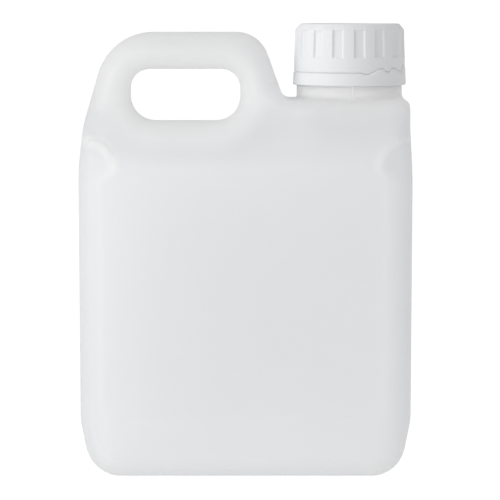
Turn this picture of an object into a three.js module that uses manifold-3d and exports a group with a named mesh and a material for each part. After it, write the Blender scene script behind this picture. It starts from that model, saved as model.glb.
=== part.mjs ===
// A one litre plastic jerrycan: a blow moulded can with a grab handle and a screw neck,
// its fluted cap, and the tamper band that the first turn of the cap tears off.
// Millimetres, +Z up, the front faces -Y. The origin is under the middle of the can.
import * as THREE from 'three';
import { mergeVertices } from 'three/addons/utils/BufferGeometryUtils.js';
import Module from 'manifold-3d';

const { clamp, degToRad, lerp, smoothstep } = THREE.MathUtils;
const wasm = await Module();
wasm.setup();

// Outside of the can
const halfWidth = 61.25;
const halfDepth = 35;
const shoulderTop = 138.8;
const footHalfWidth = 57.1;
const footTop = 20.5;
const footSlope = Math.tan(degToRad(2.5));
const pushUp = { depth: 1.2, halfWidth: 41, halfDepth: 16, round: 8, slopeWidth: 4 };

// Label panel on the front and the back, sunk between the foot and the strips
const panelHalfWidth = 50;
const panelBottom = 23.6;
const panelTop = 113.3;
const panelDepth = 0.7;
const panelFrameHeight = 0.25;
const panelFrameWidth = 1.2;
const panelRound = 4;

// Strips at the front and back corners: they slant to the sides and end in domes
const stripSlope = Math.tan(degToRad(12));
const stripRound = 3;
const domeTop = 125;
const domeRound = 10;
const domeBulge = 3;
const domeBulgeHeight = 7;
const domeStart = 108;
const domeLean = 3;

// Shoulder, which thins from the panel to the handle, and less to the block under the neck
const shoulderEnd = 136;
const neckBlockHalfDepth = 24.5;
const neckBlockStart = -2;
const neckBlockEnd = 25;
const neckBlockFade = 146;
const junctionSoftness = 1;

// Grab handle and the hole under it
const handleTop = 163.4;
const handleHalfDepth = 12;
const hole = { x: -22.65, z: 139.9, halfWidth: 20.7, halfHeight: 9.75, topRound: 7.2, bottomRound: 9.4 };

// Radii of the can's long edges: across its front, and from front to back
const footEdge = { across: 9, deep: 6.5 };
const cornerEdge = { across: 5.5, deep: 8 };
const domeEdge = { across: 5.5, deep: 15 };
const handleEdge = { across: 6.6, deep: 9 };
const neckBlockEdge = { across: 4.2, deep: 5.5 };
const handleEdgeEnd = 6;
const neckBlockEdgeStart = 20;

// Screw neck: a wide collar under the band, and the narrower barrel inside the cap
const neckX = 39;
const neckRoot = 126;
const collarRadius = 19.7;
const collarTop = 146;
const barrelRadius = 18.3;
const barrelTop = 163;

// Cap and tamper band, which clear the neck and each other
const clearance = 0.3;
const capTop = 166.6;
const capTopRadius = 18.5;
const capRadius = 20.4;
const chamferHeight = 2.3;
const rimRound = 0.5;
const skirtRadius = 20.75;
const bandBottom = 143.8;
const bandTopRadius = 21;
const bandRadius = 21.25;
const slitHeight = 148.6;
const slitWidth = 0.35;

// Finger grooves round the cap
const grooveCount = 16;
const grooveDepth = 0.75;
const grooveBottom = 154.3;
const grooveTop = 164.9;
const grooveAngle = degToRad(10.3);
const firstGroove = degToRad(2.65);

const roundSteps = 72;
const arcSteps = 12;

// Outline of the can from the front, as corners: x, z and the radius that rounds each one
const outlineCorners = [
  [-footHalfWidth, 0, 13.2],
  [footHalfWidth, 0, 12.5],
  [halfWidth, footTop, 25],
  [halfWidth, 125, 40],
  [60.4, shoulderTop, 2.4],
  [14.2, shoulderTop - 0.4, 4],
  [5.2, handleTop, 12.5],
  [-50.6, handleTop, 21.4],
  [-halfWidth, 128, 32],
  [-halfWidth, footTop, 25],
];

// Points of a closed outline whose corners are rounded by arcs
function roundedOutline(corners) {
  const points = [];
  corners.forEach(([x, z, radius], i) => {
    const corner = new THREE.Vector2(x, z);
    const before = new THREE.Vector2(...corners.at(i - 1)).sub(corner).normalize();
    const after = new THREE.Vector2(...corners[(i + 1) % corners.length]).sub(corner).normalize();
    const halfAngle = Math.acos(before.dot(after)) / 2;
    const middle = before.clone().add(after).setLength(radius / Math.sin(halfAngle)).add(corner);
    const reach = radius / Math.tan(halfAngle);
    const from = before.multiplyScalar(reach).add(corner).sub(middle);
    const to = after.multiplyScalar(reach).add(corner).sub(middle);
    const turn = Math.atan2(from.cross(to), from.dot(to));
    for (let step = 0; step <= arcSteps; step += 1) {
      points.push(from.clone().rotateAround(new THREE.Vector2(), (turn * step) / arcSteps).add(middle));
    }
  });
  return points;
}

const outline = roundedOutline(outlineCorners);

// Distance from a place on the front to the outline, negative inside it
function outlineDistance(x, z) {
  let nearest = Infinity;
  let inside = false;
  outline.forEach((a, i) => {
    const b = outline[(i + 1) % outline.length];
    const dx = b.x - a.x;
    const dz = b.y - a.y;
    const along = clamp(((x - a.x) * dx + (z - a.y) * dz) / (dx * dx + dz * dz), 0, 1);
    nearest = Math.min(nearest, Math.hypot(x - a.x - along * dx, z - a.y - along * dz));
    if ((a.y > z) !== (b.y > z) && x < a.x + ((z - a.y) / dz) * dx) {
      inside = !inside;
    }
  });
  return inside ? -nearest : nearest;
}

// Distance to a rectangle with rounded corners, negative inside it
function rectangleDistance(x, z, halfWide, halfHigh, radius) {
  const dx = Math.abs(x) - halfWide + radius;
  const dz = Math.abs(z) - halfHigh + radius;
  return Math.hypot(Math.max(dx, 0), Math.max(dz, 0)) + Math.min(Math.max(dx, dz), 0) - radius;
}

function holeDistance(x, z) {
  const radius = z > hole.z ? hole.topRound : hole.bottomRound;
  return rectangleDistance(x - hole.x, z - hole.z, hole.halfWidth, hole.halfHeight, radius);
}

// Where two surfaces meet: the larger distance, with the edge between them rounded
function roundedEdge(first, second, firstRadius, secondRadius = firstRadius) {
  const u = first / firstRadius + 1;
  const v = second / secondRadius + 1;
  const rounded = Math.hypot(Math.max(u, 0), Math.max(v, 0)) + Math.min(Math.max(u, v), 0) - 1;
  return rounded * firstRadius;
}

// Where two shapes join: the smaller distance, with the crease between them softened
function softJoin(first, second, softness) {
  return (first + second - Math.hypot(first - second, softness)) / 2;
}

// Half depth of the foot, which tapers down, and of the corners, which slant to the sides
function outerHalfDepth(x, z) {
  const slant = Math.max(Math.abs(x) - panelHalfWidth, 0) * stripSlope;
  const taper = Math.max(panelBottom - z, 0) * footSlope;
  return halfDepth - slant - taper;
}

// Label panel and, above it, the shoulder that thins to the handle or to the neck block
function panelField(x, y, z) {
  const frameReach = panelFrameWidth / 2;
  const frame = panelFrameHeight * smoothstep(z, panelTop - frameReach, panelTop + frameReach);
  const belowFade = 1 - smoothstep(z, shoulderTop, neckBlockFade);
  const neckShare = smoothstep(x, neckBlockStart, neckBlockEnd) * belowFade;
  const top = lerp(handleHalfDepth, neckBlockHalfDepth, neckShare);
  const panel = outerHalfDepth(x, z) - panelDepth + frame;
  return Math.abs(y) - lerp(panel, top, smoothstep(z, panelTop, shoulderEnd));
}

// What stands proud of the panel: the foot and the strips with their domes
function stripField(x, y, z) {
  const side = Math.abs(x);
  const inner = panelHalfWidth - domeBulge * smoothstep(z, domeStart, domeStart + domeBulgeHeight);
  const panelReach = handleTop - panelBottom;
  const besidePanel = -rectangleDistance(x, z - panelBottom - panelReach, inner, panelReach, panelRound);
  const dome = roundedEdge(inner - side, z - domeTop, domeRound);
  const outsideStrip = Math.max(besidePanel, Math.min(dome, z - domeStart));
  const lean = domeLean * clamp((z - domeStart) / (domeTop - domeStart), 0, 1) ** 2;
  return roundedEdge(outsideStrip, Math.abs(y) - outerHalfDepth(x, z) + lean, stripRound);
}

function blendEdges(from, to, share) {
  return { across: lerp(from.across, to.across, share), deep: lerp(from.deep, to.deep, share) };
}

// Radii of the can's edge near a place on its front
function edgeRadii(x, z) {
  const body = blendEdges(footEdge, cornerEdge, smoothstep(z, 0, footTop));
  const shoulder = blendEdges(body, domeEdge, smoothstep(z, domeStart, domeTop));
  const top = blendEdges(handleEdge, neckBlockEdge, smoothstep(x, handleEdgeEnd, neckBlockEdgeStart));
  return blendEdges(shoulder, top, smoothstep(z, domeTop, shoulderEnd));
}

// Height of the base, which is pushed up inside its standing rim
function baseHeight(x, y) {
  const fromRim = rectangleDistance(x, y, pushUp.halfWidth, pushUp.halfDepth, pushUp.round);
  return pushUp.depth * (1 - smoothstep(fromRim, -pushUp.slopeWidth, 0));
}

// The can without its neck: negative inside, zero on its surface
function canField(x, y, z) {
  const fromFront = Math.max(outlineDistance(x, z), -holeDistance(x, z));
  const fromSide = softJoin(panelField(x, y, z), stripField(x, y, z), junctionSoftness);
  const edge = edgeRadii(x, z);
  const shell = roundedEdge(fromFront, fromSide, edge.across, edge.deep);
  return Math.max(shell, baseHeight(x, y) - z);
}

// Grid lines from stretches: the start of each one, and its number of equal cells
function gridLines(stretches, end) {
  const lines = [];
  stretches.forEach(([start, cells], i) => {
    const stop = i + 1 < stretches.length ? stretches[i + 1][0] : end;
    for (let cell = 0; cell < cells; cell += 1) {
      lines.push(lerp(start, stop, cell / cells));
    }
  });
  return [...lines, end];
}

function mirrored(lines) {
  return lines.map((value) => -value).reverse();
}

// The surface where a field is zero: one corner in each grid cell that it passes through,
// moved onto the surface, and four-sided faces round the grid edges that it crosses
function surfaceNet(field, xs, ys, zs) {
  const axes = [xs, ys, zs];
  const strides = [1, xs.length, xs.length * ys.length];
  const indexOf = (node) => node[0] + node[1] * strides[1] + node[2] * strides[2];
  const placeOf = (node) => node.map((n, axis) => axes[axis][n]);
  const nodes = [];
  zs.forEach((z, k) => ys.forEach((y, j) => xs.forEach((x, i) => nodes.push([i, j, k]))));
  const values = nodes.map((node) => field(...placeOf(node)));

  function edgeCrossings(cell) {
    const found = [];
    for (let corner = 0; corner < 8; corner += 1) {
      const start = cell.map((n, axis) => n + ((corner >> axis) & 1));
      for (let axis = 0; axis < 3; axis += 1) {
        const from = values[indexOf(start)];
        const to = values[indexOf(start) + strides[axis]];
        if (start[axis] === cell[axis] && (from < 0) !== (to < 0)) {
          const point = placeOf(start);
          point[axis] = lerp(point[axis], axes[axis][start[axis] + 1], from / (from - to));
          found.push(point);
        }
      }
    }
    return found;
  }

  const cornerOf = new Map();
  const positions = [];
  nodes.filter((node) => node.every((n, axis) => n + 1 < axes[axis].length)).forEach((cell) => {
    const crossings = edgeCrossings(cell);
    if (crossings.length > 0) {
      const meanAlong = (axis) => crossings.reduce((sum, p) => sum + p[axis] / crossings.length, 0);
      const middle = [0, 1, 2].map(meanAlong);
      const corner = movedOntoSurface(field, middle, placeOf(cell), placeOf(cell.map((n) => n + 1)));
      cornerOf.set(indexOf(cell), positions.length / 3);
      positions.push(...corner);
    }
  });

  const triangles = [];
  nodes.forEach((node) => {
    const here = indexOf(node);
    for (let axis = 0; axis < 3; axis += 1) {
      const [b, c] = [(axis + 1) % 3, (axis + 2) % 3];
      const inner = node[axis] + 1 < axes[axis].length && node[b] > 0 && node[c] > 0;
      if (inner && (values[here] < 0) !== (values[here + strides[axis]] < 0)) {
        const cells = [here - strides[b] - strides[c], here - strides[c], here, here - strides[b]];
        const face = cells.map((cell) => cornerOf.get(cell));
        triangles.push(...splitFace(positions, values[here] < 0 ? face : face.reverse()));
      }
    }
  });
  const geometry = new THREE.BufferGeometry();
  geometry.setAttribute('position', new THREE.Float32BufferAttribute(positions, 3));
  geometry.setIndex(triangles);
  return geometry;
}

// Newton steps along the slope of the field, kept inside the cell so that no two corners meet
function movedOntoSurface(field, start, low, high) {
  const reach = 0.02;
  const margin = 0.06;
  const point = [...start];
  for (let step = 0; step < 6; step += 1) {
    const value = field(...point);
    const slope = [0, 1, 2].map((axis) => {
      const ahead = point.map((p, a) => (a === axis ? p + reach : p));
      const behind = point.map((p, a) => (a === axis ? p - reach : p));
      return (field(...ahead) - field(...behind)) / (2 * reach);
    });
    const steepness = slope[0] ** 2 + slope[1] ** 2 + slope[2] ** 2;
    slope.forEach((s, axis) => {
      const room = (high[axis] - low[axis]) * margin;
      point[axis] = clamp(point[axis] - (value * s) / steepness, low[axis] + room, high[axis] - room);
    });
  }
  return point;
}

// Two triangles for a four-sided face, cut along its shorter diagonal
function splitFace(positions, [a, b, c, d]) {
  const place = (corner) => new THREE.Vector3(...positions.slice(3 * corner, 3 * corner + 3));
  const shorter = place(a).distanceTo(place(c)) <= place(b).distanceTo(place(d));
  return shorter ? [a, b, c, a, c, d] : [a, b, d, b, c, d];
}

// Closed solid of a geometry, for joins and cuts
function solidOf(geometry) {
  const bare = geometry.clone();
  bare.deleteAttribute('normal');
  bare.deleteAttribute('uv');
  const merged = mergeVertices(bare);
  const triVerts = new Uint32Array(merged.index.array);
  const vertProperties = new Float32Array(merged.attributes.position.array);
  return new wasm.Manifold(new wasm.Mesh({ numProp: 3, vertProperties, triVerts }));
}

function geometryOf(solid) {
  const mesh = solid.getMesh();
  const geometry = new THREE.BufferGeometry();
  geometry.setAttribute('position', new THREE.BufferAttribute(mesh.vertProperties, 3));
  geometry.setIndex(new THREE.BufferAttribute(mesh.triVerts, 1));
  geometry.computeVertexNormals();
  return geometry;
}

// A solid turned about the neck's axis from pairs of radius and height
function turned(profile) {
  const points = profile.map(([radius, height]) => new THREE.Vector2(radius, height));
  return new THREE.LatheGeometry(points, roundSteps).rotateX(Math.PI / 2).translate(neckX, 0, 0);
}

function makeNeck() {
  return turned([
    [0, neckRoot],
    [collarRadius, neckRoot],
    [collarRadius, collarTop],
    [barrelRadius, collarTop],
    [barrelRadius, barrelTop],
    [0, barrelTop],
  ]);
}

// The grid is fine at the corners, the domes, the hole and the handle, and coarse elsewhere
function makeCan() {
  const right = gridLines([[48.4, 1], [50, 1], [52, 1], [54.5, 1], [57, 1], [59, 1], [60.6, 1]], 62.2);
  const middle = gridLines([[-48.4, 5], [-34, 4], [-11, 8], [15, 5]], 48.4);
  const back = gridLines([[0, 2], [7, 1], [10, 1], [13, 4], [29, 1], [31.5, 1], [33.3, 1]], 36);
  const below = gridLines([[-1, 1], [1, 2], [6, 3], [16, 2], [22.6, 1]], 25);
  const above = gridLines([[25, 5], [111.5, 1], [114, 5], [126.5, 14]], 165);
  const xs = [...mirrored(right), ...middle.slice(1, -1), ...right];
  const ys = [...mirrored(back).slice(0, -1), ...back];
  const zs = [...below.slice(0, -1), ...above];
  return geometryOf(solidOf(surfaceNet(canField, xs, ys, zs)).add(solidOf(makeNeck())));
}

// What is cut away for one finger groove: a slice of a ring, as tall as the groove
function makeGroove(start) {
  const end = start + grooveAngle;
  const shape = new THREE.Shape();
  shape.absarc(0, 0, capRadius - grooveDepth, start, end, false);
  shape.absarc(0, 0, bandRadius + 1, end, start, true);
  const options = { depth: grooveTop - grooveBottom, bevelEnabled: false, curveSegments: 2 };
  return new THREE.ExtrudeGeometry(shape, options).translate(neckX, 0, grooveBottom);
}

function makeCap() {
  const hollowRadius = barrelRadius + clearance;
  const ceiling = barrelTop + clearance;
  const bottom = slitHeight + slitWidth / 2;
  let cap = solidOf(turned([
    [0, ceiling],
    [hollowRadius, ceiling],
    [hollowRadius, bottom],
    [skirtRadius, bottom],
    [capRadius, capTop - chamferHeight],
    [capTopRadius + rimRound, capTop - rimRound],
    [capTopRadius - rimRound, capTop],
    [0, capTop],
  ]));
  for (let groove = 0; groove < grooveCount; groove += 1) {
    const start = firstGroove + (groove * 2 * Math.PI) / grooveCount;
    cap = cap.subtract(solidOf(makeGroove(start)));
  }
  return geometryOf(cap);
}

function makeTamperBand() {
  const top = slitHeight - slitWidth / 2;
  const inner = collarRadius + clearance;
  return turned([
    [inner, bandBottom],
    [bandRadius, bandBottom],
    [bandTopRadius, top],
    [inner, top],
    [inner, bandBottom],
  ]);
}

function named(name, geometry, colour, roughness) {
  const material = new THREE.MeshStandardMaterial({ color: colour, roughness, metalness: 0 });
  const mesh = new THREE.Mesh(geometry, material);
  mesh.name = name;
  return mesh;
}

const jerrycan = new THREE.Group();
jerrycan.add(named('can', makeCan(), 0xe4e6ea, 0.42));
jerrycan.add(named('cap', makeCap(), 0xeceef1, 0.38));
jerrycan.add(named('tamper_band', makeTamperBand(), 0xeceef1, 0.38));

export default jerrycan;
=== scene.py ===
# A one litre plastic jerrycan of natural milky polyethylene, with its white screw cap and tamper band.
# Shapes are worked out in millimetres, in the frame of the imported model, and made in metres.
import math

import bmesh
import bpy
import numpy as np
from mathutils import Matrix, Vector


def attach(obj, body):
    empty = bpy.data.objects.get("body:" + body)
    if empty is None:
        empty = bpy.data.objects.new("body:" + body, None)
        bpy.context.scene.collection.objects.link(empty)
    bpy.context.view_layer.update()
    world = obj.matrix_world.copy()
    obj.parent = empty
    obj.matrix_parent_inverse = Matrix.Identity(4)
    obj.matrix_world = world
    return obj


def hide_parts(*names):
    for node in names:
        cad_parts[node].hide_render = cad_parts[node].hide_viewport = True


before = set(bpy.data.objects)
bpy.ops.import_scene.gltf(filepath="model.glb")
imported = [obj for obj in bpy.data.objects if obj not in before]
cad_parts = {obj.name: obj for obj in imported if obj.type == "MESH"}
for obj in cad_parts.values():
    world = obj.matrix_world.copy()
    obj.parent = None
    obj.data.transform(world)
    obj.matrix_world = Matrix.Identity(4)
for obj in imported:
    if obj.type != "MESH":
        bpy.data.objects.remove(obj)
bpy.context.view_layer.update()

MM = 0.001

# Outside of the can
HALF_WIDTH = 61.25
HALF_DEPTH = 35
SHOULDER_TOP = 138.8
FOOT_HALF_WIDTH = 57.1
FOOT_TOP = 20.5
FOOT_SLOPE = math.tan(math.radians(2.5))
PUSH_UP_DEPTH = 1.2
PUSH_UP_HALF_WIDTH = 41
PUSH_UP_HALF_DEPTH = 16
PUSH_UP_ROUND = 8
PUSH_UP_SLOPE_WIDTH = 4

# Label panel on the front and the back, sunk between the foot and the strips
PANEL_HALF_WIDTH = 50
PANEL_BOTTOM = 23.6
PANEL_TOP = 113.3
PANEL_DEPTH = 0.7
PANEL_FRAME_HEIGHT = 0.25
PANEL_FRAME_WIDTH = 1.2
PANEL_ROUND = 4

# Strips at the front and back corners: they slant to the sides and end in domes
STRIP_SLOPE = math.tan(math.radians(12))
STRIP_ROUND = 2.4
DOME_TOP = 125
DOME_ROUND = 10
DOME_BULGE = 3
DOME_BULGE_HEIGHT = 7
DOME_START = 108
DOME_LEAN = 3

# Shoulder, which thins from the panel to the handle, and less to the block under the neck
SHOULDER_END = 136
NECK_BLOCK_HALF_DEPTH = 24.5
NECK_BLOCK_START = -2
NECK_BLOCK_END = 25
NECK_BLOCK_FADE = 146
JUNCTION_SOFTNESS = 0.8

# Grab handle and the hole under it
HANDLE_TOP = 163.4
HANDLE_HALF_DEPTH = 12
HOLE_X = -22.65
HOLE_Z = 139.9
HOLE_HALF_WIDTH = 20.7
HOLE_HALF_HEIGHT = 9.75
HOLE_TOP_ROUND = 7.2
HOLE_BOTTOM_ROUND = 9.4

# Radii of the can's long edges: across its front, and from front to back
FOOT_EDGE = (9, 6.5)
CORNER_EDGE = (5.5, 8)
DOME_EDGE = (5.5, 15)
HANDLE_EDGE = (6.6, 9)
NECK_BLOCK_EDGE = (4.2, 5.5)
HANDLE_EDGE_END = 6
NECK_BLOCK_EDGE_START = 20

# Screw neck: a wide collar under the band, and the narrower barrel inside the cap
NECK_X = 39
NECK_ROOT = 126
COLLAR_RADIUS = 19.7
COLLAR_TOP = 146
BARREL_RADIUS = 18.3
BARREL_TOP = 163
NECK_FILLET = 1.2
NECK_RIM_ROUND = 0.3

# Cap and tamper band
CLEARANCE = 0.3
CAP_TOP = 166.6
CAP_TOP_RADIUS = 18.5
CAP_RADIUS = 20.4
CHAMFER_HEIGHT = 2.3
SKIRT_RADIUS = 20.75
LIP_HEIGHT = 3
TOP_PANEL_RADIUS = 15.4
TOP_PANEL_DEPTH = 0.3
GATE_MARK_RADIUS = 1.5
GATE_MARK_HEIGHT = 0.15
BAND_BOTTOM = 143.8
BAND_TOP_RADIUS = 21
BAND_RADIUS = 21.25
BAND_FOOT_ROUND = 0.5
BAND_FOOT_HEIGHT = 0.9
BAND_WALL_START = 1.2
SLIT_HEIGHT = 148.6
SLIT_WIDTH = 0.35
SLIT_DEPTH = 0.15
LEDGE_SHARE = 0.93
SKIRT_CLIMB_START = 1
SKIRT_CLIMB_END = 6
BAND_CLIMB_START = 1.8
BAND_CLIMB_END = 0.3

# Round the cap, angles are degrees that count from the front towards the right side
ANGLES = np.arange(0, 360, 0.5)
GROOVE_COUNT = 16
GROOVE_DEPTH = 0.75
GROOVE_BOTTOM = 154.3
GROOVE_TOP = 164.9
GROOVE_ANGLE = 10.3
GROOVE_EDGE_ANGLE = 0.8
GROOVE_BOTTOM_REACH = 0.6
GROOVE_TOP_REACH = 1.4
FIRST_GROOVE = 7.8

# Start of the tear tab: angles and how far the slit lies above its level there. Between its first and
# its last angles the band is bevelled along the slit, and stands out from a height above its bottom.
TAB_COURSE = [(10, -0.1), (17, -0.6), (25, 0.8), (30, 1.5), (35, 1.5), (38, 0.35), (43, 0.35), (46, 1.6),
              (53, 1.6), (60, 0.4), (64, 0.2), (70, 2.6), (76, 2.6), (84, 0)]
TAB_BEVEL = 0.6
TAB_RISE = 0.2
TAB_RISE_START = 2.2
TAB_RISE_END = 3.4
TAB_FIRST_ANGLES = (14, 19)
TAB_LAST_ANGLES = (76, 84)
BRIDGE_ANGLES = (61, 73)
BRIDGE_HALF_ANGLE = 1.5

# Outline of the can from the front, as corners: x, z and the radius that rounds each one
OUTLINE_CORNERS = [
    (-FOOT_HALF_WIDTH, 0, 13.2),
    (FOOT_HALF_WIDTH, 0, 12.5),
    (HALF_WIDTH, FOOT_TOP, 25),
    (HALF_WIDTH, 125, 40),
    (60.4, SHOULDER_TOP, 2.4),
    (14.2, SHOULDER_TOP - 0.4, 4),
    (5.2, HANDLE_TOP, 12.5),
    (-50.6, HANDLE_TOP, 21.4),
    (-HALF_WIDTH, 128, 32),
    (-HALF_WIDTH, FOOT_TOP, 25),
]

# Seams of the mould: round the middle of the can, up the neck, and the pinched one under the base
SEAM_HEIGHT = 0.1
SEAM_WIDTH = 0.22
NECK_MARK_X = 39.6
NECK_MARK_HEIGHT = 0.22
NECK_MARK_WIDTH = 0.3
PINCH_HEIGHT = 0.5
PINCH_WIDTH = 0.5
PINCH_HALF_LENGTH = 38
PINCH_FADE = 2

# Milkiness of the can's wall, from 0 for the clear colour to 1 for the milk-white one. Besides the plastic's
# own tone it holds painted light and painted shade, as marked below.
EVEN_MILKINESS = 0.25
# Corners darker, partly because their wall is thin and partly as painted shade
THIN_CLEARNESS_AND_PAINTED_SHADE = 0.22
THIN_START = 51
THIN_END = 58.25
# Painted shade over the domes, more on the right, away from the light
LEFT_DOME_PAINTED_SHADE = 0.15
RIGHT_DOME_PAINTED_SHADE = 0.25
DOME_PAINTED_SHADE_REACH = 4
WALL_FADE = 8
# Painted highlights along the domes' rims, much brighter on the left, towards the light
LEFT_RIM_PAINTED_HIGHLIGHT = 0.6
RIGHT_RIM_PAINTED_HIGHLIGHT = 0.15
RIM_INSET = 1.2
RIM_WIDTH = 1.6
# Painted light that lifts the shade round the handle's hole
HOLE_PAINTED_LIGHT = 0.55
HOLE_REACH = 12
# Painted light that lifts the shade in the crease at the neck's root
ROOT_PAINTED_LIGHT = 0.5
ROOT_REACH = 14
# Painted light that lifts the shade along the handle's edges
HANDLE_EDGE_PAINTED_LIGHT = 0.25
EDGE_REACH = 5
NECK_MILKINESS = 1
CLEAR_WALL = (0.71, 0.718, 0.733)
MILKY_WALL = (0.98, 0.985, 0.993)

# How far light spreads inside the can's hollow shape and inside its neck, and the unevenness of the plastics
CAN_SPREAD = 80 * MM
NECK_SPREAD = 10 * MM
CLOUD_STRENGTH = 0.12
WAVE_HEIGHT = 0.12 * MM
GRAIN_HEIGHT = 0.004 * MM
LEAST_ROUGHNESS = 0.5
ROUGHNESS_RANGE = 0.1
CAP_WHITES = ((0.815, 0.82, 0.83), (0.845, 0.85, 0.86))

# Brightness of the white studio, where it lights the can and where the camera sees it
WORLD_LIGHT = 0.58
WORLD_SEEN = 1.05
FLOOR_LIGHT = 0.6
FLOOR_SEEN = 0.9

# Size of the cells that the can's surface is cut into, and of the smaller ones at a seam
CELL = 1.2
SEAM_CELL = 0.15


def smooth(value, low, high):
    """Rises from 0 at low to 1 at high, level at both ends."""
    share = np.clip((value - low) / (high - low), 0, 1)
    return share * share * (3 - 2 * share)


def blend(start, end, share):
    return start + (end - start) * share


def rounded_corners(corners, steps=12, closed=True):
    """Points of an outline whose corners are each rounded by an arc of its own radius."""
    points = []
    for i, (across, up, radius) in enumerate(corners):
        corner = np.array([across, up], float)
        at_end = not closed and i in (0, len(corners) - 1)
        if radius == 0 or at_end:
            points.append(corner)
            continue
        before = np.array(corners[i - 1][:2]) - corner
        after = np.array(corners[(i + 1) % len(corners)][:2]) - corner
        before = before / np.hypot(*before)
        after = after / np.hypot(*after)
        half_angle = math.acos(before @ after) / 2
        inward = (before + after) / np.hypot(*(before + after))
        middle = corner + inward * radius / math.sin(half_angle)
        reach = radius / math.tan(half_angle)
        first = corner + before * reach - middle
        last = corner + after * reach - middle
        turn = math.atan2(first[0] * last[1] - first[1] * last[0], first @ last)
        for angle in np.linspace(0, turn, steps + 1):
            cos, sin = math.cos(angle), math.sin(angle)
            place = [cos * first[0] - sin * first[1], sin * first[0] + cos * first[1]]
            points.append(middle + np.array(place))
    return np.array(points)


OUTLINE = rounded_corners(OUTLINE_CORNERS)


def outline_distance(x, z):
    """Distance from places on the front to the outline, negative inside it."""
    nearest = np.full(np.broadcast(x, z).shape, np.inf)
    inside = np.zeros(nearest.shape, bool)
    for (ax, az), (bx, bz) in zip(OUTLINE, np.roll(OUTLINE, -1, axis=0)):
        dx, dz = bx - ax, bz - az
        along = np.clip(((x - ax) * dx + (z - az) * dz) / (dx * dx + dz * dz), 0, 1)
        nearest = np.minimum(nearest, (x - ax - along * dx) ** 2 + (z - az - along * dz) ** 2)
        if dz != 0:
            inside ^= ((az > z) != (bz > z)) & (x < ax + (z - az) / dz * dx)
    return np.where(inside, -1, 1) * np.sqrt(nearest)


def rectangle_distance(x, z, half_wide, half_high, radius):
    """Distance to a rectangle with rounded corners, negative inside it."""
    dx = np.abs(x) - half_wide + radius
    dz = np.abs(z) - half_high + radius
    return np.hypot(np.maximum(dx, 0), np.maximum(dz, 0)) + np.minimum(np.maximum(dx, dz), 0) - radius


def hole_distance(x, z):
    radius = np.where(z > HOLE_Z, HOLE_TOP_ROUND, HOLE_BOTTOM_ROUND)
    return rectangle_distance(x - HOLE_X, z - HOLE_Z, HOLE_HALF_WIDTH, HOLE_HALF_HEIGHT, radius)


def rounded_edge(first, second, first_radius, second_radius):
    """The larger of two distances, with the edge where the surfaces meet rounded."""
    u = first / first_radius + 1
    v = second / second_radius + 1
    rounded = np.hypot(np.maximum(u, 0), np.maximum(v, 0)) + np.minimum(np.maximum(u, v), 0) - 1
    return rounded * first_radius


def soft_join(first, second, softness):
    """The smaller of two distances, with the crease where the shapes join softened."""
    return (first + second - np.hypot(first - second, softness)) / 2


def fillet_join(first, second, radius):
    """The smaller of two distances, with a fillet of that radius where the shapes join."""
    inner = np.hypot(np.maximum(radius - first, 0), np.maximum(radius - second, 0))
    return np.maximum(np.minimum(first, second), radius) - inner


def outer_half_depth(x, z):
    """Half depth of the foot, which tapers down, and of the corners, which slant to the sides."""
    slant = np.maximum(np.abs(x) - PANEL_HALF_WIDTH, 0) * STRIP_SLOPE
    taper = np.maximum(PANEL_BOTTOM - z, 0) * FOOT_SLOPE
    return HALF_DEPTH - slant - taper


def panel_field(x, y, z):
    """Label panel and, above it, the shoulder that thins to the handle or to the neck block."""
    frame_reach = PANEL_FRAME_WIDTH / 2
    raised = PANEL_FRAME_HEIGHT * smooth(z, PANEL_TOP - frame_reach, PANEL_TOP + frame_reach)
    below_fade = 1 - smooth(z, SHOULDER_TOP, NECK_BLOCK_FADE)
    neck_share = smooth(x, NECK_BLOCK_START, NECK_BLOCK_END) * below_fade
    top = blend(HANDLE_HALF_DEPTH, NECK_BLOCK_HALF_DEPTH, neck_share)
    panel = outer_half_depth(x, z) - PANEL_DEPTH + raised
    return np.abs(y) - blend(panel, top, smooth(z, PANEL_TOP, SHOULDER_END))


def outside_strip(x, z):
    """Distance to the foot and the strips with their domes, seen from the front, negative on them."""
    side = np.abs(x)
    inner = PANEL_HALF_WIDTH - DOME_BULGE * smooth(z, DOME_START, DOME_START + DOME_BULGE_HEIGHT)
    panel_reach = HANDLE_TOP - PANEL_BOTTOM
    beside_panel = -rectangle_distance(x, z - PANEL_BOTTOM - panel_reach, inner, panel_reach, PANEL_ROUND)
    dome = rounded_edge(inner - side, z - DOME_TOP, DOME_ROUND, DOME_ROUND)
    return np.maximum(beside_panel, np.minimum(dome, z - DOME_START))


def strip_field(x, y, z):
    """What stands proud of the panel: the foot and the strips with their domes."""
    lean = DOME_LEAN * np.clip((z - DOME_START) / (DOME_TOP - DOME_START), 0, 1) ** 2
    outward = np.abs(y) - outer_half_depth(x, z) + lean
    return rounded_edge(outside_strip(x, z), outward, STRIP_ROUND, STRIP_ROUND)


def edge_radii(x, z):
    """Radii of the can's edge, across and deep, near a place on its front."""
    foot, corner, dome = np.array(FOOT_EDGE), np.array(CORNER_EDGE), np.array(DOME_EDGE)
    handle, neck_block = np.array(HANDLE_EDGE), np.array(NECK_BLOCK_EDGE)

    def radius(i):
        body = blend(foot[i], corner[i], smooth(z, 0, FOOT_TOP))
        shoulder = blend(body, dome[i], smooth(z, DOME_START, DOME_TOP))
        top = blend(handle[i], neck_block[i], smooth(x, HANDLE_EDGE_END, NECK_BLOCK_EDGE_START))
        return blend(shoulder, top, smooth(z, DOME_TOP, SHOULDER_END))

    return radius(0), radius(1)


def ridge(offset, width):
    """Cross section of a fine ridge, 1 on its line."""
    return np.exp(-((offset / width) ** 2))


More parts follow.
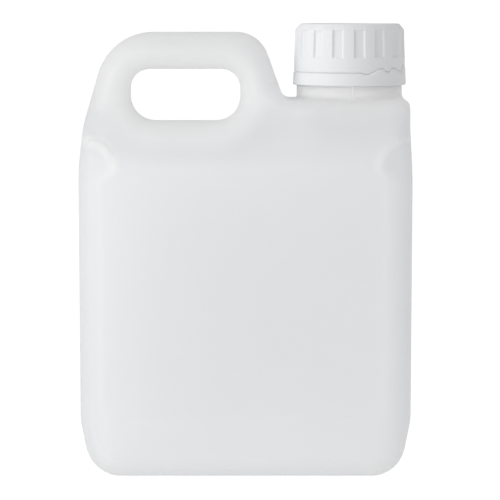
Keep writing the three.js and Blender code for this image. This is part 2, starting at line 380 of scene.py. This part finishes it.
def base_height(x, y):
    """Height of the base, which is pushed up inside its standing rim and has a pinched seam."""
    from_rim = rectangle_distance(x, y, PUSH_UP_HALF_WIDTH, PUSH_UP_HALF_DEPTH, PUSH_UP_ROUND)
    inside_rim = 1 - smooth(from_rim, -PUSH_UP_SLOPE_WIDTH, 0)
    pinch_end = smooth(np.abs(x), PINCH_HALF_LENGTH - PINCH_FADE, PINCH_HALF_LENGTH)
    pinch = PINCH_HEIGHT * ridge(y, PINCH_WIDTH) * (1 - pinch_end)
    return PUSH_UP_DEPTH * inside_rim - pinch


def upright_cylinder(from_axis, z, radius, top):
    """Distance to one cylinder of the neck, with a fine radius at its rim."""
    half_height = (top - NECK_ROOT) / 2
    from_end = np.abs(z - NECK_ROOT - half_height) - half_height
    return rounded_edge(from_axis - radius, from_end, NECK_RIM_ROUND, NECK_RIM_ROUND)


def neck_field(x, y, z):
    """Collar and barrel of the screw neck, with a seam at each side and a mark in front and behind."""
    from_axis = np.hypot(x - NECK_X, y)
    mark = NECK_MARK_HEIGHT * ridge(x - NECK_MARK_X, NECK_MARK_WIDTH)
    seam = np.maximum(SEAM_HEIGHT * ridge(y, SEAM_WIDTH), mark)
    collar = upright_cylinder(from_axis - seam, z, COLLAR_RADIUS, COLLAR_TOP)
    barrel = upright_cylinder(from_axis, z, BARREL_RADIUS, BARREL_TOP)
    return np.minimum(collar, barrel)


def can_field(x, y, z):
    """Negative inside the can, zero on its surface."""
    from_front = np.maximum(outline_distance(x, z), -hole_distance(x, z))
    from_front = from_front - SEAM_HEIGHT * ridge(y, SEAM_WIDTH) * smooth(z, 0, FOOT_TOP)
    from_side = soft_join(panel_field(x, y, z), strip_field(x, y, z), JUNCTION_SOFTNESS)
    across, deep = edge_radii(x, z)
    shell = rounded_edge(from_front, from_side, across, deep)
    body = np.maximum(shell, base_height(x, y) - z)
    return fillet_join(body, neck_field(x, y, z), NECK_FILLET)


def slope_of(field, points, reach=0.02):
    """Slope of a field at points, one row for each."""
    slopes = []
    for axis in range(3):
        step = np.zeros(3)
        step[axis] = reach
        slopes.append((field(*(points + step).T) - field(*(points - step).T)) / (2 * reach))
    return np.stack(slopes, axis=1)


def surface_net(field, lines):
    """Corners, normals and four-sided faces of the surface where a field is zero. Each grid cell that
    the surface passes through has one corner, and each grid edge that it crosses has one face."""
    xs, ys, zs = lines
    values = field(xs[:, None, None], ys[None, :, None], zs[None, None, :])
    shape = np.array(values.shape)
    total = np.zeros((shape.prod(), 3))
    count = np.zeros(shape.prod())
    faces = []
    for axis in range(3):
        unit = np.eye(3, dtype=int)
        ahead = np.roll(values, -1, axis=axis)
        starts = np.argwhere((values < 0) != (ahead < 0))
        starts = starts[starts[:, axis] < shape[axis] - 1]
        here = values[tuple(starts.T)]
        there = values[tuple((starts + unit[axis]).T)]
        points = np.stack([lines[a][starts[:, a]] for a in range(3)], axis=1)
        following = lines[axis][starts[:, axis] + 1]
        points[:, axis] += (following - points[:, axis]) * here / (here - there)
        side, other = unit[(axis + 1) % 3], unit[(axis + 2) % 3]
        around = [starts - side - other, starts - other, starts, starts - side]
        cells = np.stack([np.ravel_multi_index(tuple(cell.T), values.shape) for cell in around], axis=1)
        for column in cells.T:
            np.add.at(total, column, points)
            np.add.at(count, column, 1)
        faces.append(np.where((here < 0)[:, None], cells, cells[:, ::-1]))
    used = np.flatnonzero(count)
    number = np.full(len(count), -1)
    number[used] = np.arange(len(used))
    corners = total[used] / count[used][:, None]
    cell = np.stack(np.unravel_index(used, values.shape), axis=1)
    low = np.stack([lines[a][cell[:, a]] for a in range(3)], axis=1)
    high = np.stack([lines[a][cell[:, a] + 1] for a in range(3)], axis=1)
    margin = 0.04 * (high - low)
    for _ in range(4):
        slope = slope_of(field, corners)
        step = field(*corners.T) / (slope**2).sum(axis=1)
        corners = np.clip(corners - slope * step[:, None], low + margin, high - margin)
    normals = slope_of(field, corners)
    normals /= np.linalg.norm(normals, axis=1)[:, None]
    return corners, normals, number[np.concatenate(faces)]


def grid_lines(low, high, seam=None):
    """Lines that reach past low and high, with finer ones on both sides of a seam."""
    lines = (np.arange(math.floor(low / CELL) - 1, math.ceil(high / CELL) + 1) + 0.5) * CELL
    if seam is None:
        return lines
    steps = np.geomspace(SEAM_CELL / 2, 1.2 * CELL, 7)
    apart = lines[np.abs(lines - seam) > steps[-1] + CELL / 2]
    return np.sort(np.concatenate([apart, seam - steps, seam + steps]))


def mesh_piece(name, corners, faces, material, normals=None):
    """A smooth shaded piece in metres, which rides on the one body."""
    mesh = bpy.data.meshes.new(name)
    mesh.from_pydata((np.asarray(corners) * MM).tolist(), [], [list(face) for face in faces])
    mesh.materials.append(material)
    mesh.polygons.foreach_set("use_smooth", [True] * len(mesh.polygons))
    if normals is not None:
        mesh.normals_split_custom_set_from_vertices(normals.tolist())
    mesh.update()
    piece = bpy.data.objects.new(name, mesh)
    bpy.context.scene.collection.objects.link(piece)
    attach(piece, "root")
    return piece


def turned_piece(name, radii, heights, material, ring):
    """A piece turned about the neck's axis. radii and heights have a row for each profile point and
    a column for each angle. A ring's profile closes on itself."""
    across = NECK_X + radii * np.sin(np.radians(ANGLES))
    deep = -radii * np.cos(np.radians(ANGLES))
    corners = np.stack([across, deep, heights], axis=2).reshape(-1, 3)
    rows, columns = radii.shape
    number = np.arange(rows * columns).reshape(rows, columns)
    below = number if ring else number[:-1]
    above = np.roll(number, -1, axis=0)[: len(below)]
    faces = np.stack([below, np.roll(below, -1, axis=1), np.roll(above, -1, axis=1), above], axis=2)
    piece = mesh_piece(name, corners, faces.reshape(-1, 4), material)
    welded = bmesh.new()
    welded.from_mesh(piece.data)
    bmesh.ops.remove_doubles(welded, verts=welded.verts, dist=0.001 * MM)
    bmesh.ops.recalc_face_normals(welded, faces=welded.faces)
    welded.to_mesh(piece.data)
    welded.free()
    return piece


def near(distance, reach):
    """1 at no distance, falling to 0 at the reach."""
    return 1 - smooth(distance, 0, reach)


def neck_wall(points):
    """1 on the thick wall of the neck, 0 on the rest of the can."""
    x, y, z = points.T
    near_axis = 1 - smooth(np.hypot(x - NECK_X, y), COLLAR_RADIUS + 0.5, COLLAR_RADIUS + 2)
    return near_axis * smooth(z, SHOULDER_TOP - 1, SHOULDER_TOP + 1)


def milkiness_and_painted_light(points):
    """How much the wall whitens, most at the neck, whose wall is thick. Mixed in are painted light round the
    hole, at the neck's root and along the edges of the handle, where the can lies in shade; painted
    highlights along the rims of the domes, brighter on the left one than on the right one; and painted shade
    over the domes, more on the right, and round the corners, which are also darker because their wall is
    thin."""
    x, y, z = points.T
    from_root = np.hypot(np.hypot(x - NECK_X, y) - COLLAR_RADIUS, z - SHOULDER_TOP)
    on_handle = smooth(z, SHOULDER_END, SHOULDER_END + WALL_FADE)
    on_dome = smooth(z, DOME_START, DOME_TOP - WALL_FADE)
    # Darker round the corners: partly a thin wall, partly painted shade
    wall = EVEN_MILKINESS - THIN_CLEARNESS_AND_PAINTED_SHADE * smooth(np.abs(x), THIN_START, THIN_END)
    # Painted shade over the domes, more on the right, away from the light
    dome_painted_shade = np.where(x < 0, LEFT_DOME_PAINTED_SHADE, RIGHT_DOME_PAINTED_SHADE)
    wall = wall - dome_painted_shade * smooth(-outside_strip(x, z), 0, DOME_PAINTED_SHADE_REACH) * on_dome
    # Painted light that lifts the shade round the handle's hole
    wall = wall + HOLE_PAINTED_LIGHT * near(hole_distance(x, z), HOLE_REACH)
    # Painted light that lifts the shade in the crease at the neck's root
    wall = wall + ROOT_PAINTED_LIGHT * near(from_root, ROOT_REACH)
    # Painted light that lifts the shade along the handle's edges
    wall = wall + HANDLE_EDGE_PAINTED_LIGHT * near(-outline_distance(x, z), EDGE_REACH) * on_handle
    # Painted highlights along the domes' rims, much brighter on the left, towards the light
    rim_painted_highlight = np.where(x < 0, LEFT_RIM_PAINTED_HIGHLIGHT, RIGHT_RIM_PAINTED_HIGHLIGHT)
    wall = wall + rim_painted_highlight * ridge(outside_strip(x, z) + RIM_INSET, RIM_WIDTH) * on_dome
    return blend(wall, NECK_MILKINESS, neck_wall(points))


def make_can(material):
    across = grid_lines(-HALF_WIDTH, HALF_WIDTH, seam=NECK_MARK_X)
    deep = grid_lines(-HALF_DEPTH, HALF_DEPTH, seam=0)
    up = grid_lines(0, HANDLE_TOP)
    corners, normals, faces = surface_net(can_field, [across, deep, up])
    can = mesh_piece("can_moulding", corners, faces, material, normals)
    # The first attribute holds the wall's own whiteness together with painted light and shade.
    for name, values in (("milkiness_and_painted_light", milkiness_and_painted_light(corners)), ("neck_wall", neck_wall(corners))):
        can.data.attributes.new(name, "FLOAT", "POINT").data.foreach_set("value", values)
    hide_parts("can")
    return can


def slit_climb():
    """How far the slit between cap and band lies above its level, at each angle."""
    at, height = np.array(TAB_COURSE, float).T
    return np.interp(ANGLES, at, height, left=0, right=0)


def groove_depth(heights):
    """How deep the finger grooves cut in, at each height and angle."""
    period = 360 / GROOVE_COUNT
    from_middle = np.abs((ANGLES - FIRST_GROOVE + period / 2) % period - period / 2)
    half = GROOVE_ANGLE / 2
    across = 1 - smooth(from_middle, half - GROOVE_EDGE_ANGLE, half + GROOVE_EDGE_ANGLE)
    above_bottom = smooth(heights, GROOVE_BOTTOM - GROOVE_BOTTOM_REACH, GROOVE_BOTTOM + GROOVE_BOTTOM_REACH)
    below_top = 1 - smooth(heights, GROOVE_TOP - GROOVE_TOP_REACH, GROOVE_TOP)
    return GROOVE_DEPTH * across * above_bottom * below_top


def all_round(profile):
    """Radii and heights of a profile, the same at each angle."""
    return (np.repeat(column[:, None], len(ANGLES), axis=1) for column in profile.T)


def cap_profile():
    """Radius and height of the cap, from its ceiling inside, down, round its lip and up to its top."""
    hollow = BARREL_RADIUS + CLEARANCE
    ceiling = BARREL_TOP + CLEARANCE
    bottom = SLIT_HEIGHT + SLIT_WIDTH / 2
    lip_end = bottom + LIP_HEIGHT
    chamfer = CAP_TOP - CHAMFER_HEIGHT
    sunken = CAP_TOP - TOP_PANEL_DEPTH
    inside = [(0, ceiling, 0), (hollow, ceiling, 1), (hollow, lip_end + 1, 0)]
    lip = [(hollow, lip_end, 0), (hollow, bottom, 0.2),
           (SKIRT_RADIUS, bottom, 0.2), (SKIRT_RADIUS, lip_end, 0)]
    wall_heights = np.linspace(lip_end + 1, chamfer - 1.2, 60)
    wall_radii = blend(SKIRT_RADIUS, CAP_RADIUS, smooth(wall_heights, lip_end, chamfer))
    rim = [(CAP_RADIUS, chamfer - 1, 0), (CAP_RADIUS, chamfer, 0.8), (CAP_TOP_RADIUS, CAP_TOP, 0.9),
           (TOP_PANEL_RADIUS + 0.4, CAP_TOP, 0.4), (TOP_PANEL_RADIUS, sunken, 0.2),
           (GATE_MARK_RADIUS + 0.2, sunken, 0.1), (GATE_MARK_RADIUS, sunken + GATE_MARK_HEIGHT, 0.1),
           (0, sunken + GATE_MARK_HEIGHT, 0)]
    return np.concatenate([rounded_corners(inside, 6, closed=False), rounded_corners(lip, 4, closed=False),
                           np.stack([wall_radii, wall_heights], 1), rounded_corners(rim, 6, closed=False)])


def make_cap(material):
    """Screw cap: a shell with a chamfered top, finger grooves and a skirt that ends at the slit."""
    radii, heights = all_round(cap_profile())
    is_wall = radii > CAP_TOP_RADIUS + 0.5
    radii = radii - np.where(is_wall, groove_depth(heights), 0)
    bottom = SLIT_HEIGHT + SLIT_WIDTH / 2
    above_slit = smooth(heights, bottom + SKIRT_CLIMB_START, bottom + SKIRT_CLIMB_END)
    heights = heights + slit_climb() * (1 - above_slit)
    cap = turned_piece("screw_cap", radii, heights, material, ring=False)
    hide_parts("cap")
    return cap


def slit_depth():
    """How deep the slit is at each angle: nothing at the thin bridges, two for each quarter turn."""
    from_bridge = np.min([np.abs((ANGLES - at + 45) % 90 - 45) for at in BRIDGE_ANGLES], axis=0)
    return SLIT_DEPTH * smooth(from_bridge, BRIDGE_HALF_ANGLE - 0.5, BRIDGE_HALF_ANGLE + 0.5)


def make_band(material):
    """Tamper band: a ring with a ledge that floors the slit, bevelled along the course of the tear tab."""
    inner = COLLAR_RADIUS + CLEARANCE
    top = SLIT_HEIGHT - SLIT_WIDTH / 2
    ledge_top = top + LEDGE_SHARE * SLIT_WIDTH
    foot = [(inner, top - 2, 0), (inner, BAND_BOTTOM, 0.2), (BAND_RADIUS, BAND_BOTTOM, BAND_FOOT_ROUND),
            (BAND_RADIUS - 0.05, BAND_BOTTOM + BAND_FOOT_HEIGHT, 0)]
    wall_heights = np.linspace(BAND_BOTTOM + BAND_WALL_START, top - 0.25, 30)
    wall_radii = blend(BAND_RADIUS, BAND_TOP_RADIUS, smooth(wall_heights, BAND_BOTTOM, top))
    wall = np.stack([wall_radii, wall_heights], 1)
    rim = [(BAND_TOP_RADIUS, top - 0.2, 0), (BAND_TOP_RADIUS, top, 0.1), (SKIRT_RADIUS, top, 0)]
    ledge = [(SKIRT_RADIUS, top, 0), (SKIRT_RADIUS, ledge_top, 0), (inner, ledge_top, 0), (inner, top - 1, 0)]
    outside = np.concatenate([rounded_corners(foot, 5, closed=False), wall,
                              rounded_corners(rim, 4, closed=False)])
    radii, heights = all_round(np.concatenate([outside, rounded_corners(ledge, closed=False)]))
    heights = heights + slit_climb() * smooth(heights, top - BAND_CLIMB_START, top - BAND_CLIMB_END)
    on_tab = smooth(ANGLES, *TAB_FIRST_ANGLES) * (1 - smooth(ANGLES, *TAB_LAST_ANGLES))
    bevel = top + slit_climb() - TAB_BEVEL * on_tab
    rise = TAB_RISE * on_tab * smooth(heights, BAND_BOTTOM + TAB_RISE_START, BAND_BOTTOM + TAB_RISE_END)
    radii = np.where(radii > SKIRT_RADIUS, radii + rise, radii)
    radii = np.minimum(radii, np.maximum(SKIRT_RADIUS, bevel + BAND_RADIUS - heights))
    slit_floor = slice(len(outside), len(outside) + 2)
    radii[slit_floor] -= slit_depth() * (1 - 0.5 * on_tab)
    band = turned_piece("tamper_band_ring", radii, heights, material, ring=True)
    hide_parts("tamper_band")
    return band


class Nodes:
    """Short ways to add shader nodes to one material."""

    def __init__(self, material):
        material.use_nodes = True
        self.tree = material.node_tree
        self.shader = self.tree.nodes["Principled BSDF"]

    def add(self, kind, **settings):
        node = self.tree.nodes.new(kind)
        for name, value in settings.items():
            setattr(node, name, value)
        return node

    def link(self, output, socket):
        self.tree.links.new(output, socket)

    def noise(self, scale, detail=2.0, roughness=0.5):
        place = self.add("ShaderNodeTexCoord").outputs["Object"]
        node = self.add("ShaderNodeTexNoise")
        node.inputs["Scale"].default_value = scale
        node.inputs["Detail"].default_value = detail
        node.inputs["Roughness"].default_value = roughness
        self.link(place, node.inputs["Vector"])
        return node.outputs["Fac"]

    def attribute(self, name):
        return self.add("ShaderNodeAttribute", attribute_name=name).outputs["Fac"]

    def math(self, operation, *values):
        node = self.add("ShaderNodeMath", operation=operation)
        for socket, value in zip(node.inputs, values):
            if isinstance(value, (int, float)):
                socket.default_value = value
            else:
                self.link(value, socket)
        return node.outputs[0]

    def mix(self, share, first, second):
        node = self.add("ShaderNodeMix", data_type="RGBA")
        self.link(share, node.inputs["Factor"])
        node.inputs["A"].default_value = (*first, 1)
        node.inputs["B"].default_value = (*second, 1)
        return node.outputs["Result"]

    def satin(self, grain):
        """Satin gloss that varies finely with the grain."""
        roughness = self.math("MULTIPLY_ADD", grain, ROUGHNESS_RANGE, LEAST_ROUGHNESS)
        self.link(roughness, self.shader.inputs["Roughness"])

    def bump(self, height):
        """Normals of a surface raised by a height in metres."""
        node = self.add("ShaderNodeBump")
        node.inputs["Strength"].default_value = 1
        node.inputs["Distance"].default_value = 1
        self.link(height, node.inputs["Height"])
        self.link(node.outputs["Normal"], self.shader.inputs["Normal"])


def can_plastic():
    """Natural polyethylene: milk-white, satin and a little translucent, slightly wavy from the mould. Its
    colour also carries the painted light and shade that the can's attribute holds.
    """
    material = bpy.data.materials.new("can_plastic")
    nodes = Nodes(material)
    cloud = nodes.math("MULTIPLY_ADD", nodes.noise(16, detail=3), CLOUD_STRENGTH, -CLOUD_STRENGTH / 2)
    # Base colour from the wall's whiteness with painted light and shade, plus random clouds.
    milky_and_painted_light = nodes.math("ADD", nodes.attribute("milkiness_and_painted_light"), cloud)
    nodes.link(nodes.mix(milky_and_painted_light, CLEAR_WALL, MILKY_WALL), nodes.shader.inputs["Base Color"])
    grain = nodes.noise(1800, detail=2)
    nodes.satin(grain)
    waves = nodes.math("MULTIPLY", nodes.noise(45, detail=1), WAVE_HEIGHT)
    nodes.bump(nodes.math("MULTIPLY_ADD", grain, GRAIN_HEIGHT, waves))
    spread = nodes.math("MULTIPLY_ADD", nodes.attribute("neck_wall"), NECK_SPREAD - CAN_SPREAD, CAN_SPREAD)
    nodes.link(spread, nodes.shader.inputs["Subsurface Scale"])
    nodes.shader.inputs["Subsurface Weight"].default_value = 0.9
    nodes.shader.inputs["Subsurface Radius"].default_value = (1, 1, 1)
    nodes.shader.inputs["IOR"].default_value = 1.5
    return material


def cap_plastic():
    """Opaque white polypropylene, satin, with faint flow marks."""
    material = bpy.data.materials.new("cap_plastic")
    nodes = Nodes(material)
    cloud = nodes.noise(60, detail=3)
    nodes.link(nodes.mix(cloud, *CAP_WHITES), nodes.shader.inputs["Base Color"])
    grain = nodes.noise(2500, detail=2)
    nodes.satin(grain)
    nodes.bump(nodes.math("MULTIPLY", grain, GRAIN_HEIGHT))
    return material


def seen_or_light(tree, light, seen):
    """A strength that is one number for the camera and another for the light that is given off."""
    is_seen = tree.nodes.new("ShaderNodeLightPath").outputs["Is Camera Ray"]
    strength = tree.nodes.new("ShaderNodeMapRange")
    strength.inputs["To Min"].default_value = light
    strength.inputs["To Max"].default_value = seen
    tree.links.new(is_seen, strength.inputs["Value"])
    return strength.outputs["Result"]


def stage_material():
    """White floor, lit from within so that it has no horizon and only a faint shadow."""
    material = bpy.data.materials.new("stage_white")
    nodes = Nodes(material)
    nodes.shader.inputs["Base Color"].default_value = (0.25, 0.25, 0.25, 1)
    nodes.shader.inputs["Roughness"].default_value = 0.9
    nodes.shader.inputs["Specular IOR Level"].default_value = 0
    nodes.shader.inputs["Emission Color"].default_value = (1, 1, 1, 1)
    glow = seen_or_light(nodes.tree, FLOOR_LIGHT, FLOOR_SEEN)
    nodes.link(glow, nodes.shader.inputs["Emission Strength"])
    return material


def make_floor():
    bpy.ops.mesh.primitive_circle_add(vertices=96, radius=60, fill_type="NGON", location=(0, 0, -0.0002))
    floor = bpy.context.object
    floor.name = "floor"
    floor.data.materials.append(stage_material())


def area_light(name, place, target, size, watts, lit=None):
    """Soft square light, which lights only the pieces in lit, or everything."""
    light = bpy.data.lights.new(name, "AREA")
    light.shape = "SQUARE"
    light.size = size
    light.energy = watts
    lamp = bpy.data.objects.new(name, light)
    bpy.context.scene.collection.objects.link(lamp)
    lamp.location = place
    lamp.visible_camera = False
    direction = np.array(target) - np.array(place)
    lamp.rotation_euler = Vector(direction.tolist()).to_track_quat("-Z", "Y").to_euler()
    if lit is not None:
        lamp.light_linking.receiver_collection = bpy.data.collections.new(name + "_lit")
        for piece in lit:
            lamp.light_linking.receiver_collection.objects.link(piece)
    return lamp


def light_the_stage(can, cap, band):
    """White studio. The can and the cap have side lights of their own, because light passes through the
    real can's thin walls and softens it, and not through the cap."""
    world = bpy.data.worlds.new("studio")
    bpy.context.scene.world = world
    world.use_nodes = True
    tree = world.node_tree
    background = tree.nodes["Background"]
    background.inputs["Color"].default_value = (1, 1, 1, 1)
    tree.links.new(seen_or_light(tree, WORLD_LIGHT, WORLD_SEEN), background.inputs["Strength"])
    area_light("can_key", (-0.42, -0.5, 0.22), (0, 0, 0.08), 0.5, 1.7, lit=[can])
    area_light("can_fill", (0.7, -0.1, 0.15), (0, 0, 0.08), 0.5, 0.25, lit=[can])
    area_light("cap_key", (-0.7, -0.42, 0.36), (0, 0, 0.12), 0.9, 4.4, lit=[cap, band])
    area_light("top", (0, 0.1, 1.2), (0, 0, 0), 1.2, 0.8)


def make_camera():
    """The photograph's camera, 0.8 m in front and looking down by 6.6 degrees."""
    data = bpy.data.cameras.new("camera")
    data.lens = 153.65
    data.sensor_width = 36
    camera = bpy.data.objects.new("camera", data)
    bpy.context.scene.collection.objects.link(camera)
    camera.location = (1.63 * MM, -805 * MM, 174.6 * MM)
    camera.rotation_euler = (math.radians(90 - 6.63), 0, 0)
    bpy.context.scene.camera = camera


def main():
    plastic = can_plastic()
    white = cap_plastic()
    can = make_can(plastic)
    cap = make_cap(white)
    band = make_band(white)
    make_floor()
    light_the_stage(can, cap, band)
    make_camera()
    bpy.context.scene.view_settings.view_transform = "Standard"


main()
